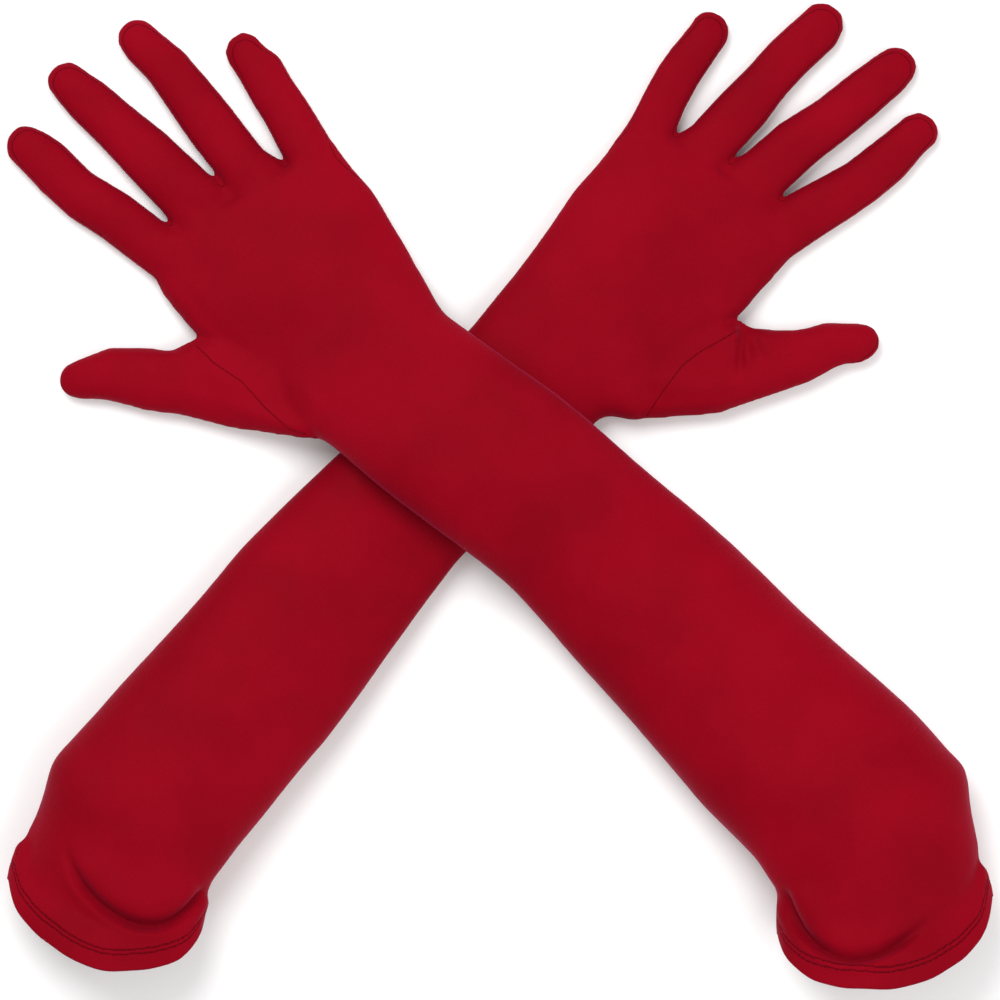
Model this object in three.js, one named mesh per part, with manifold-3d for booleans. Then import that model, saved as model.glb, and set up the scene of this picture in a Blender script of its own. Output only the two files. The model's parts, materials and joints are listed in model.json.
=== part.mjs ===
// A pair of long stretch-fabric opera gloves, lying crossed with the palms up.
// Millimetres, +Z up, the surface they lie on is z = 0, the middle of the pair's outline is x = y = 0.
//
// Each glove is two layers of cloth, a palm side and a back side, sewn together round the outline.
// Its limbs (cuff, arm, hand, four fingers, thumb) are lofted tubes with real hollows, and each limb
// is cut at half height into its two layers, with the turned-in seam allowance between them.
import * as THREE from 'three';
import { mergeVertices } from 'three/addons/utils/BufferGeometryUtils.js';
import Module from 'manifold-3d';

const wasm = await Module();
wasm.setup();

// Cloth and sewing
const WALL = 1.4;                  // one layer of cloth
const HEM_WALL = 2.4;              // the hem, which is two layers
const SEAM_ALLOWANCE = 3;          // cloth turned inside along the outline
const SEAM_THICKNESS = 0.4;
const THREAD_WIDTH = 0.8;
const THREAD_HEIGHT = 0.5;
const STITCH_ROWS = [0.72, 0.88];  // place of each row of hem stitching, as a share of the hem's depth
const THUMB_SEAM_ROW = [0.93, 0.96];   // place of the thumb's stitching, between its root and its base
const GAP = 0.3;                   // clear space between pieces that touch

// Sections of the tubes
const FULLNESS = 2.3;              // exponent of a section's outline: 2 is an ellipse, more is squarer
const MIDDLE_SHARE = 0.46;         // height of a section's widest line, as a share of its height
const LEAN_BELOW = 0.3;            // reach of the mouth's underside, as a share of its top's
const ARM_SIDES = 16;
const FINGER_SIDES = 10;
const TIP_ANGLES = [38, 68];        // degrees: the sections that round off a fingertip
const TIP_REACH = 1.15;            // length of a rounded tip, as a share of its half width
const OPENING = 3;                 // how far a hollow is cut on past the open end of its limb

// The hump in the left glove where it passes over the right one's wrist
const HUMP_HEIGHT = 24;
const HUMP_FLAT = 14;              // half length of its level top
const HUMP_END = 84;               // from its middle to where the glove lies on the surface again
const HUMP_MIDDLE = new THREE.Vector2(-13, 24);

// The slabs that part the two layers
const SLAB_REACH = 322;
const SLAB_STEP = 23;
const SLAB_HEIGHT = 150;

const CLOTH = { color: 0x970d1f, roughness: 0.55, metalness: 0 };
const THREAD = { color: 0x6f0916, roughness: 0.6, metalness: 0 };

// A station of a limb is [left x, left y, right x, right y, height, floor, lean, skew]: the two edges
// of its section as seen from above looking towards the fingertips, the section's height, the height
// of its underside over what the glove lies on, how far its top reaches out towards the mouth, and how
// far its top is drawn towards the right edge (0 where left out).
const LEFT_GLOVE = {
  name: 'left',
  axis: new THREE.Vector2(-0.74, 0.67).normalize(),
  hump: HUMP_HEIGHT,
  hem: [
    [118, -187, 211, -171, 53, 1, 31.5, -4],
    [119, -177, 209.5, -163, 49, 1, 30.5, -4],
  ],
  cuff: [
    [119, -177, 209.5, -163, 49, 1, 30.5, -4],
    [120.5, -169, 206.5, -156, 45, 0.5, 28, -3],
    [116, -160, 204.5, -143, 48, 0, 20, -2],
    [105, -149, 201, -117, 49, 0, 8, -0.5],
    [88, -132, 179.5, -95, 46, 0, 0],
  ],
  arm: [
    [88, -132, 179.5, -95, 46, 0, 0],
    [67, -108, 140, -58, 42, 0, 0],
    [43, -80, 102, -22, 38, 0, 0],
    [8, -42, 63, 12, 33, 0, 0],
    [-14, -24, 38, 33, 30, 0, 0],
    [-43, -1, 9, 54, 27, 0, 0],
    [-68, 20, -18, 75, 25, 0, 0],
  ],
  hand: [
    [-68, 20, -18, 75, 25, 0, 0],
    [-79, 27, -24, 80, 24, 0, 0],
    [-104, 48, -39, 107, 22, 0, 0],
    [-130, 70, -54, 131, 20, 0, 0],
    [-144, 87, -64, 142, 17, 0, 0],
    [-153, 104, -72, 153, 13.5, 0, 0],
  ],
  fingers: {
    index: [
      [-133, 83, -110, 108, 12, 0, 0],
      [-158, 102, -145, 119, 13, 0, 0],
      [-171, 112, -159.5, 130, 13, 0, 0],
      [-185, 121, -176, 140, 12, 0, 0],
      [-197, 132, -188, 152, 11, 0, 0],
      [-207.5, 143, -195.5, 157, 10, 0.5, 0],
    ],
    middle: [
      [-130, 96, -100, 124, 12, 0, 0],
      [-144, 122, -126, 140, 13, 0, 0],
      [-159, 138, -144, 157, 13, 0, 0],
      [-172, 152, -158, 168, 12, 0, 0],
      [-184, 164, -171, 179, 11, 0, 0],
      [-190, 171, -179, 184, 10, 0.5, 0],
    ],
    ring: [
      [-112, 112, -75, 134, 12, 0, 0],
      [-120, 137, -102, 150, 13, 0, 0],
      [-133, 154, -116, 168, 12, 0, 0],
      [-142, 167, -125, 179, 11, 0.5, 0],
      [-151, 180, -136, 192, 11, 0.5, 0],
      [-160.5, 190, -148.5, 202, 10, 0.5, 0],
    ],
    little: [
      [-88, 124, -61, 137, 12, 0, 0],
      [-92, 145, -74, 156, 12, 0.5, 0],
      [-101, 162, -83, 171, 11, 1, 0],
      [-106, 170, -90, 181, 11, 1, 0],
      [-111, 179, -95, 190, 10, 1.5, 0],
      [-115.5, 186.5, -101.5, 194.5, 9, 1.5, 0],
    ],
    thumb: [
      [-66, 52, -102, 76, 15, 2.5, 0],
      [-79, 25, -131, 68, 16, 2.5, 0],
      [-115, 30.5, -135, 66, 15, 2.5, 0],
      [-137, 36, -141, 63, 14, 2.5, 0],
      [-153, 38, -154, 64, 13, 2.5, 0],
      [-167, 42, -168, 64, 12, 2.5, 0],
      [-179, 44, -181, 59, 10, 3, 0],
    ],
  },
};

const RIGHT_GLOVE = {
  name: 'right',
  axis: new THREE.Vector2(0.65, 0.76).normalize(),
  hump: 0,
  hem: [
    [-211, -167, -126, -182, 51, 1, 27, 6],
    [-209, -158, -126, -172, 47, 1, 26, 5.5],
  ],
  cuff: [
    [-209, -158, -126, -172, 47, 1, 26, 5.5],
    [-206, -150, -125, -164, 43, 0.5, 24, 5],
    [-199, -137, -122, -159, 45, 0, 18, 3],
    [-191.5, -113, -113, -150, 46, 0, 7, 0.5],
    [-171, -92, -100, -136, 43, 0, 0],
  ],
  arm: [
    [-171, -92, -100, -136, 43, 0, 0],
    [-142, -58, -75, -105, 39, 0, 0],
    [-110, -21, -49, -68, 32, 0, 0],
    [-68, 20, -17, -26, 23, 0, 0],
    [-37, 45, 12, 2, 22, 0, 0],
    [-10, 75, 45, 34, 21, 0, 0],
  ],
  hand: [
    [-10, 75, 45, 34, 21, 0, 0],
    [8, 99, 61, 33, 22, 0, 0],
    [31, 131, 82, 60, 22, 0, 0],
    [46, 147, 104, 79, 20, 0, 0],
    [52, 156, 123, 101, 17, 0, 0],
    [58, 164, 131, 116, 13.5, 0, 0],
  ],
  fingers: {
    index: [
      [102, 117, 116, 97, 12, 0, 0],
      [124, 130, 138, 112, 13, 0, 0],
      [139, 138, 152, 121, 13, 0, 0],
      [150, 144, 162, 128, 12, 0, 0],
      [163, 154, 174, 138, 11, 0, 0],
      [175, 163.5, 183, 148.5, 10, 0.5, 0],
    ],
    middle: [
      [84, 135, 114, 109, 12, 0, 0],
      [107, 149, 123, 132, 13, 0, 0],
      [121, 161, 137, 145, 13, 0, 0],
      [137, 171, 150, 155, 12, 0, 0],
      [151, 182, 162, 165, 11, 0, 0],
      [163.5, 191, 174.5, 176, 10, 0.5, 0],
    ],
    ring: [
      [62, 149, 93, 124, 12, 0, 0],
      [83, 160, 100, 146, 13, 0, 0],
      [96, 174, 114, 161, 12, 0, 0],
      [107, 185, 122, 172, 11, 0.5, 0],
      [117, 196, 132, 183, 11, 0.5, 0],
      [130, 208, 145, 195, 10, 0.5, 0],
    ],
    little: [
      [49, 150, 72, 137, 12, 0, 0],
      [59, 167, 76, 158, 12, 0.5, 0],
      [63, 175, 80, 168, 11, 1, 0],
      [69, 186, 86, 179, 11, 1, 0],
      [74, 193, 90, 185, 10, 1.5, 0],
      [81.5, 202, 97.5, 196, 9, 1.5, 0],
    ],
    thumb: [
      [70, 82, 38, 48, 15, 2.5, 0],
      [104, 76, 63, 34, 16, 2.5, 0],
      [109, 73, 94, 36.5, 15, 2.5, 0],
      [119, 72, 117, 44.5, 14, 2.5, 0],
      [129, 72, 133, 50, 13, 2.5, 0],
      [141, 75, 146, 57, 12, 2.5, 0],
      [152, 74.5, 156, 59.5, 10, 3, 0],
    ],
  },
};

// ---------------------------------------------------------------- stations

function readStation([leftX, leftY, rightX, rightY, height, floor, lean, skew = 0]) {
  const left = new THREE.Vector3(leftX, leftY, 0);
  const right = new THREE.Vector3(rightX, rightY, 0);
  return { left, right, height, floor, lean, skew };
}

function between(one, two, share) {
  const mix = (a, b) => THREE.MathUtils.lerp(a, b, share);
  return {
    left: one.left.clone().lerp(two.left, share),
    right: one.right.clone().lerp(two.right, share),
    height: mix(one.height, two.height),
    floor: mix(one.floor, two.floor),
    lean: mix(one.lean, two.lean),
    skew: mix(one.skew, two.skew),
  };
}

// The stations of a limb with one more halfway between each two, its edges on smooth curves.
function refine(stations) {
  const leftEdge = new THREE.CatmullRomCurve3(stations.map((s) => s.left));
  const rightEdge = new THREE.CatmullRomCurve3(stations.map((s) => s.right));
  const spans = stations.length - 1;
  const refined = [];
  for (let step = 0; step <= 2 * spans; step += 1) {
    const first = Math.min(Math.floor(step / 2), spans - 1);
    const station = between(stations[first], stations[first + 1], step / 2 - first);
    station.left = leftEdge.getPoint(step / 2 / spans);
    station.right = rightEdge.getPoint(step / 2 / spans);
    refined.push(station);
  }
  return refined;
}

// The direction along the limb, towards the fingertips.
function forwardOf(station) {
  const across = station.right.clone().sub(station.left).normalize();
  return new THREE.Vector3(-across.y, across.x, 0);
}

function shifted(station, distance) {
  const move = forwardOf(station).multiplyScalar(distance);
  return { ...station, left: station.left.clone().add(move), right: station.right.clone().add(move) };
}

// A limb's stations with its first and last ones moved along the limb.
function extended(stations, before, after) {
  const last = stations.length - 1;
  return [shifted(stations[0], -before), ...stations.slice(1, last), shifted(stations[last], after)];
}

// ---------------------------------------------------------------- tubes

// How high the glove's underside is raised where it passes over the other glove.
function humpAt(glove, x, y) {
  const along = Math.abs(glove.axis.dot(new THREE.Vector2(x, y).sub(HUMP_MIDDLE)));
  return glove.hump * (1 - THREE.MathUtils.smoothstep(along, HUMP_FLAT, HUMP_END));
}

function superellipse(angle) {
  const round = (value) => Math.sign(value) * Math.abs(value) ** (2 / FULLNESS);
  return [round(Math.cos(angle)), round(Math.sin(angle))];
}

// The points of one section, drawn in by inset, flat underneath, before the hump raises it.
function section(station, sides, inset) {
  const middle = station.left.clone().add(station.right).multiplyScalar(0.5);
  const halfAcross = station.right.clone().sub(station.left).multiplyScalar(0.5);
  const across = halfAcross.clone().normalize();
  const forward = forwardOf(station);
  const halfWidth = halfAcross.length() - inset;
  const halfHeight = station.height * (1 - MIDDLE_SHARE) - inset;
  const middleHeight = station.floor + station.height * MIDDLE_SHARE;
  const points = [];
  for (let side = 0; side < sides; side += 1) {
    const [sideways, upward] = superellipse((side / sides) * 2 * Math.PI);
    const reach = upward > 0 ? upward : -upward * LEAN_BELOW;
    const point = middle.clone().addScaledVector(across, sideways * halfWidth + station.skew * reach);
    point.addScaledVector(forward, -station.lean * reach);
    point.z = Math.max(middleHeight + upward * halfHeight, station.floor + inset);
    points.push(point);
  }
  return points;
}

// Smaller and smaller sections that close a tube with a round end.
function tipSections(points, forward) {
  const centre = new THREE.Vector3();
  points.forEach((point) => centre.addScaledVector(point, 1 / points.length));
  const halfWidth = points[0].distanceTo(points[points.length / 2]) / 2;
  return TIP_ANGLES.map((degrees) => {
    const angle = THREE.MathUtils.degToRad(degrees);
    const reach = halfWidth * TIP_REACH * Math.sin(angle);
    return points.map((point) => {
      return centre.clone().lerp(point, Math.cos(angle)).addScaledVector(forward, reach);
    });
  });
}

function solidFrom(vertexCoordinates, triangles) {
  const mesh = new wasm.Mesh({
    numProp: 3,
    vertProperties: new Float32Array(vertexCoordinates),
    triVerts: new Uint32Array(triangles),
  });
  return new wasm.Manifold(mesh);
}

function solidFromGeometry(geometry) {
  geometry.deleteAttribute('normal');
  geometry.deleteAttribute('uv');
  const merged = mergeVertices(geometry);
  return solidFrom(merged.attributes.position.array, merged.index.array);
}

// The triangles between rows of points, each row of them closing on itself.
function sideTriangles(rows, sides) {
  const triangles = [];
  for (let row = 0; row < rows - 1; row += 1) {
    for (let side = 0; side < sides; side += 1) {
      const here = row * sides + side;
      const next = row * sides + ((side + 1) % sides);
      triangles.push(here, here + sides, next, next, here + sides, next + sides);
    }
  }
  return triangles;
}

// Three coordinates for each point, raised by the hump.
function raisedCoordinates(glove, sections) {
  return sections.flat().flatMap(({ x, y, z }) => [x, y, z + humpAt(glove, x, y)]);
}

// A closed solid through sections that all have the same number of points.
function loft(glove, sections) {
  const sides = sections[0].length;
  const triangles = sideTriangles(sections.length, sides);
  const end = (sections.length - 1) * sides;
  for (let side = 1; side < sides - 1; side += 1) {
    triangles.push(0, side, side + 1, end, end + side + 1, end + side);
  }
  return solidFrom(raisedCoordinates(glove, sections), triangles);
}

// A tube of cloth, open at both ends: out along the outer sections and back along the inner ones.
function openShell(glove, outer, inner) {
  const sections = [...outer, ...inner.reverse(), outer[0]];
  const sides = outer[0].length;
  const own = (sections.length - 1) * sides;
  const triangles = sideTriangles(sections.length, sides).map((vertex) => vertex % own);
  return solidFrom(raisedCoordinates(glove, sections.slice(0, -1)), triangles);
}

// A tube of cloth that is open at its first section and closed at the last one.
function stallShell(glove, outer, inner) {
  const sections = [...inner.reverse(), ...outer];
  const sides = outer[0].length;
  const triangles = sideTriangles(sections.length, sides);
  const end = (sections.length - 1) * sides;
  for (let side = 1; side < sides - 1; side += 1) {
    triangles.push(0, side, side + 1, end, end + side + 1, end + side);
  }
  return solidFrom(raisedCoordinates(glove, sections), triangles);
}

function openSections(stations, sides, inset) {
  return stations.map((station) => section(station, sides, inset));
}

function closedSections(stations, inset) {
  const sections = openSections(stations, FINGER_SIDES, inset);
  const tip = tipSections(sections[sections.length - 1], forwardOf(stations[stations.length - 1]));
  return [...sections, ...tip];
}

// ---------------------------------------------------------------- the two layers

// The heights of the outline along the glove's axis: [distance along the axis, height] in order.
function outlineHeights(glove) {
  const chain = [...glove.hem, ...glove.cuff, ...glove.arm, ...glove.hand, ...glove.fingers.middle];
  const known = chain.map(readStation).map((station) => {
    const middle = station.left.clone().add(station.right).multiplyScalar(0.5);
    const along = glove.axis.dot(new THREE.Vector2(middle.x, middle.y));
    return [along, station.floor + station.height * MIDDLE_SHARE];
  });
  known.sort((one, two) => one[0] - two[0]);
  return known;
}

function heightAt(known, along) {
  const after = known.findIndex(([place]) => place > along);
  if (after <= 0) return known[after === 0 ? 0 : known.length - 1][1];
  const [lowPlace, lowHeight] = known[after - 1];
  const [highPlace, highHeight] = known[after];
  const share = (along - lowPlace) / Math.max(highPlace - lowPlace, 1e-6);
  return THREE.MathUtils.lerp(lowHeight, highHeight, share);
}

// All the space between two heights over or under the outline, as one long extruded slab.
function slab(glove, low, high) {
  const known = outlineHeights(glove);
  const line = [];
  for (let along = -SLAB_REACH; along <= SLAB_REACH; along += SLAB_STEP) {
    const place = glove.axis.clone().multiplyScalar(along);
    line.push([along, heightAt(known, along) + humpAt(glove, place.x, place.y)]);
  }
  const underside = line.map(([along, height]) => new THREE.Vector2(along, height + low));
  const top = line.map(([along, height]) => new THREE.Vector2(along, height + high));
  const shape = new THREE.Shape([...underside, ...top.reverse()]);
  const geometry = new THREE.ExtrudeGeometry(shape, { depth: 2 * SLAB_REACH, bevelEnabled: false });
  geometry.translate(0, 0, -SLAB_REACH);
  const alongAxis = new THREE.Vector3(glove.axis.x, glove.axis.y, 0);
  const up = new THREE.Vector3(0, 0, 1);
  const sideways = alongAxis.clone().cross(up);
  geometry.applyMatrix4(new THREE.Matrix4().makeBasis(alongAxis, up, sideways));
  return solidFromGeometry(geometry);
}

// The three levels of a glove: its palm side, its back side, and the seam allowance between them.
function levelsOf(glove) {
  const half = SEAM_THICKNESS / 2;
  return {
    palmSide: slab(glove, half + GAP, SLAB_HEIGHT),
    backSide: slab(glove, -SLAB_HEIGHT, -half - GAP),
    seam: slab(glove, -half, half),
  };
}

// ---------------------------------------------------------------- limbs

function addAll(solids) {
  return solids.reduce((sum, solid) => sum.add(solid));
}

// A tube of cloth that is open at both ends.
function sleeve(glove, stations, wall) {
  const outer = openSections(stations, ARM_SIDES, 0);
  return openShell(glove, outer, openSections(stations, ARM_SIDES, wall));
}

// A finger or thumb of cloth, open where it joins the hand. Its first station lies inside the hand.
function fingerstall(glove, stations) {
  return stallShell(glove, closedSections(stations, 0), closedSections(stations, WALL));
}

// The palm and back of the hand, with a stub for each finger and the thumb, hollow right through.
function hand(glove) {
  const stations = glove.hand.map(readStation);
  const stub = (rows, reach, inset) => {
    const ends = extended(rows.slice(0, 2).map(readStation), 0, reach);
    return loft(glove, openSections(ends, FINGER_SIDES, inset));
  };
  const limbs = Object.values(glove.fingers);
  const outside = addAll([
    loft(glove, openSections(extended(stations, -GAP / 2, 0), ARM_SIDES, 0)),
    ...limbs.map((rows) => stub(rows, -GAP / 2, 0)),
  ]);
  const hollow = addAll([
    loft(glove, openSections(extended(stations, OPENING, -WALL), ARM_SIDES, WALL)),
    ...limbs.map((rows) => stub(rows, OPENING, WALL)),
  ]);
  return outside.subtract(hollow);
}

// ---------------------------------------------------------------- seam allowance

// A limb's edge as seen from above, drawn in by inset.
function edgeLine(stations, edge, otherEdge, inset) {
  return stations.map((station) => {
    const inward = station[otherEdge].clone().sub(station[edge]).normalize();
    return station[edge].clone().addScaledVector(inward, inset);
  });
}

// The round end of a fingertip's outline, from its left edge to its right edge.
function tipLine(station, inset) {
  const [left] = edgeLine([station], 'left', 'right', inset);
  const [right] = edgeLine([station], 'right', 'left', inset);
  const centre = left.clone().lerp(right, 0.5);
  const reach = left.distanceTo(centre) * TIP_REACH;
  const forward = forwardOf(station);
  const onArc = (edge, degrees) => {
    const angle = THREE.MathUtils.degToRad(degrees);
    return centre.clone().lerp(edge, Math.cos(angle)).addScaledVector(forward, reach * Math.sin(angle));
  };
  const back = [...TIP_ANGLES].reverse();
  return [
    ...TIP_ANGLES.map((degrees) => onArc(left, degrees)),
    ...back.map((degrees) => onArc(right, degrees)),
  ];
}

// The outline of a finger or thumb, up one side, round the tip and down the other.
function stallLine(stations, inset) {
  return [
    ...edgeLine(stations, 'left', 'right', inset),
    ...tipLine(stations[stations.length - 1], inset),
    ...edgeLine(stations, 'right', 'left', inset).reverse(),
  ];
}

// A flat strip of cloth between two lines, at the height where the two layers meet.
function strip(levels, outerLine, innerLine) {
  const shape = new THREE.Shape([...outerLine, ...innerLine.reverse()]);
  const geometry = new THREE.ExtrudeGeometry(shape, { depth: 2 * SLAB_HEIGHT, bevelEnabled: false });
  geometry.translate(0, 0, -SLAB_HEIGHT);
  return solidFromGeometry(geometry).intersect(levels.seam);
}

// ---------------------------------------------------------------- hem and threads

function hemBand(glove) {
  const [mouth, upperEdge] = glove.hem.map(readStation);
  return sleeve(glove, [mouth, shifted(upperEdge, -1.5 * GAP)], HEM_WALL);
}

// A raised ring of stitches round a tube, between two stations that lie a thread's width apart.
function threadRing(glove, stations, sides) {
  const outer = openSections(stations, sides, -GAP - THREAD_HEIGHT);
  return openShell(glove, outer, openSections(stations, sides, -GAP));
}

function hemStitches(glove, share) {
  const [mouth, upperEdge] = glove.hem.map(readStation);
  const depth = mouth.left.distanceTo(upperEdge.left);
  const half = THREAD_WIDTH / 2 / depth;
  const stations = [share - half, share + half].map((place) => between(mouth, upperEdge, place));
  return threadRing(glove, stations, ARM_SIDES);
}

// The stitches on the palm side that join the thumb to the hand.
function thumbSeam(glove, palmSide) {
  const [root, base] = glove.fingers.thumb.map(readStation);
  const stations = THUMB_SEAM_ROW.map((place) => between(root, base, place));
  const palm = loft(glove, openSections(glove.hand.map(readStation), ARM_SIDES, -GAP));
  return threadRing(glove, stations, FINGER_SIDES).subtract(palm).intersect(palmSide);
}

// ---------------------------------------------------------------- the pair

function nodeFrom(name, solid, look) {
  const { vertProperties, triVerts } = solid.getMesh();
  const geometry = new THREE.BufferGeometry();
  geometry.setAttribute('position', new THREE.BufferAttribute(new Float32Array(vertProperties), 3));
  geometry.setIndex(new THREE.BufferAttribute(new Uint32Array(triVerts), 1));
  geometry.computeVertexNormals();
  const node = new THREE.Mesh(geometry, new THREE.MeshStandardMaterial(look));
  node.name = name;
  return node;
}

function gloveNodes(glove) {
  const levels = levelsOf(glove);
  const nodes = [];
  const add = (name, solid, look) => nodes.push(nodeFrom(`${glove.name}_${name}`, solid, look));
  const addLayers = (limb, shell) => {
    add(`${limb}_palm_side`, shell.intersect(levels.palmSide), CLOTH);
    add(`${limb}_back_side`, shell.intersect(levels.backSide), CLOTH);
  };

  const sleeves = { cuff: glove.cuff.map(readStation), arm: glove.arm.map(readStation) };
  if (glove.hump > 0) sleeves.arm = refine(sleeves.arm);
  for (const [limb, whole] of Object.entries(sleeves)) {
    const stations = extended(whole, -GAP / 2, -GAP / 2);
    addLayers(limb, sleeve(glove, stations, WALL));
    for (const [edge, otherEdge] of [['left', 'right'], ['right', 'left']]) {
      const outer = edgeLine(stations, edge, otherEdge, 0);
      const inner = edgeLine(stations, edge, otherEdge, SEAM_ALLOWANCE);
      add(`${limb}_${edge}_seam`, strip(levels, outer, inner), CLOTH);
    }
  }
  addLayers('hand', hand(glove));
  for (const [finger, rows] of Object.entries(glove.fingers)) {
    const stations = extended(rows.slice(1).map(readStation), -GAP / 2, 0);
    addLayers(finger, fingerstall(glove, stations));
    const seam = strip(levels, stallLine(stations, 0), stallLine(stations, SEAM_ALLOWANCE));
    add(`${finger}_seam`, seam, CLOTH);
  }
  add('hem_band', hemBand(glove), CLOTH);
  STITCH_ROWS.forEach((share, row) => {
    add(`hem_stitch_row_${row + 1}`, hemStitches(glove, share), THREAD);
  });
  add('thumb_seam_thread', thumbSeam(glove, levels.palmSide), THREAD);
  return nodes;
}

const group = new THREE.Group();
group.add(...gloveNodes(LEFT_GLOVE), ...gloveNodes(RIGHT_GLOVE));

export default group;
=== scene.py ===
# A pair of long stretch-fabric opera gloves, lying crossed with the palms up on a pale floor.
#
# Each glove's cloth is one smooth skin, wrapped over the outside of its CAD layers. The skin gets its
# mouth, hem, stitching grooves, seam lines and folds, and is then cut into pieces; the hem and hand
# pieces and the stitches ride on the CAD bodies. Shapes are worked out in millimetres, and turned to
# metres when a mesh is made.
import json
import math
import bpy
import numpy as np
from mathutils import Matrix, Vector

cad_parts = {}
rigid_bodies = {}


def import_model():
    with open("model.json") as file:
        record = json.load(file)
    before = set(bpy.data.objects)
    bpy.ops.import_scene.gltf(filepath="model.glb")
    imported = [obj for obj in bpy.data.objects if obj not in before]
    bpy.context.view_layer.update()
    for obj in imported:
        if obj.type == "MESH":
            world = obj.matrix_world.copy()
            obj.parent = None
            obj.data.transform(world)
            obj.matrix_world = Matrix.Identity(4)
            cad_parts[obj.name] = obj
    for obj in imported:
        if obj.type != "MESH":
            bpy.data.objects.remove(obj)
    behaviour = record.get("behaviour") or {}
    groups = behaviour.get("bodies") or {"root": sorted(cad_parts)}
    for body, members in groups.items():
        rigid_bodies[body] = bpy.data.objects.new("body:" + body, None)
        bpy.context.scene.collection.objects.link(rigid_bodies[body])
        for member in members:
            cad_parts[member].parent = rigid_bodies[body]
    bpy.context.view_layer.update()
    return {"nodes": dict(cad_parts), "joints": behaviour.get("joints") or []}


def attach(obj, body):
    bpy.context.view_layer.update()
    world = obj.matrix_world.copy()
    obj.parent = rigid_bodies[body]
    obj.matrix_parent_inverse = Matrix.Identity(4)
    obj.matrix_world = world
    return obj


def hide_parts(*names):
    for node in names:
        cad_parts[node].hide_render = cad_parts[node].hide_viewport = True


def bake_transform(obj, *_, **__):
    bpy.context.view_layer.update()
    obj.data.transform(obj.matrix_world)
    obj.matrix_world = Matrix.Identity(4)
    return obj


for default in list(bpy.data.objects):
    bpy.data.objects.remove(default)

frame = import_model()
JOINTS = {joint["name"]: joint for joint in frame["joints"]}

MM = 0.001
GLOVES = ("right", "left")
FINGERS = ("index", "middle", "ring", "little")
DIGITS = FINGERS + ("thumb",)
LIMBS = ("cuff", "arm", "hand") + DIGITS
AXES = {"left": (-0.74, 0.67), "right": (0.65, 0.76)}   # from the hem to the fingertips
UP = np.array([0.0, 0.0, 1.0])

# The skin
VOXEL = 1.2
WELD = 0.5                 # wider than the gap between two CAD limbs
SLIVER = 1e-3              # a face that reaches less than this past a cut is kept
OVERLAP = 1.0              # how far each closed layer reaches past the outline
FLOOR_CLEARANCE = 0.25     # the lowest that the cloth reaches
MOUTH_REACH = 25.0         # the skin is made longer by this, and then cut at the mouth
DIGIT_SMOOTHING = 3.0      # detail finer than this is smoothed out: digits, sleeve, by the mouth
SLEEVE_SMOOTHING = 7.5
MOUTH_SMOOTHING = 6.0
SIDE_FULLNESS = 0.7        # how far the sides stand out of the smoothed shape: sleeve, digits, tips
DIGIT_FULLNESS = 0.5
TIP_FULLNESS = 1.5
TIP_REACH = 13.0           # how far from its tip a digit has the fullness of a tip
SEAM_LIFT = 2.8            # how far over the outline the seams of the fingers show
PAINTED_CREASE_SHADE = 0.45     # painted shade in the crease over each hem, as a share of a seam's darkness

# The hem
WALL = 1.1                 # thickness of the cloth, and of the hem
HEM_WALL = 2.2
HEM_DEPTH = 10.0
STITCH_ROWS = (5.7, 7.3)   # distance of each row of hem stitching from the rim
LEAN_BELOW = 0.3           # how far the rim's underside reaches, as a share of its top
OUTER_SIDE = {"left": 1, "right": -1}      # the side of the sleeve that is away from the other glove
# How far the mouth's inner and outer corners are rounded back
CORNER_CUTS = {"left": (0.0, 3.0), "right": (3.0, 3.0)}
# How far the rim hangs past a straight cut: at its outer corner, and at a place on its top, which is
# given as a share of the half width: (at the corner, place, at the place)
RIM_SHAPES = {"left": (2.3, 0.10, 2.4), "right": (-1.2, 0.05, 2.4)}
RIM_SPREAD = 0.27

# The widest that a digit's own cloth reaches from the middle line of the digit
FINGER_HALF_WIDTH = 15.0
THUMB_HALF_WIDTH = 44.0

# Zones round each joint, measured from the joint towards the fingertips: (start, end)
ELBOW_ZONE = (-30.0, 30.0)
WRIST_ZONE = (-18.0, 8.0)
KNUCKLE_ZONE = (-2.0, 16.0)
THUMB_ZONE = (-4.0, 30.0)


# ---------------------------------------------------------------- reading the frame

def unit(vector):
    vector = np.asarray(vector, float)
    return vector / np.linalg.norm(vector)


def smoothstep(value, low, high):
    share = np.clip((value - low) / (high - low), 0, 1)
    return share * share * (3 - 2 * share)


def bump(value, middle, half_width):
    return np.exp(-0.5 * ((value - middle) / half_width) ** 2)


def arrays_of(node):
    """A CAD node's points, in millimetres, and its triangles."""
    mesh = frame["nodes"][node].data
    mesh.calc_loop_triangles()
    points = np.empty(3 * len(mesh.vertices), np.float32)
    mesh.vertices.foreach_get("co", points)
    triangles = np.empty(3 * len(mesh.loop_triangles), np.int32)
    mesh.loop_triangles.foreach_get("vertices", triangles)
    return points.reshape(-1, 3).astype(float) / MM, triangles.reshape(-1, 3)


def face_normals(points, triangles):
    first, second, third = (points[triangles[:, corner]] for corner in range(3))
    normals = np.cross(second - first, third - first)
    return normals / np.maximum(np.linalg.norm(normals, axis=1, keepdims=True), 1e-12)


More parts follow.
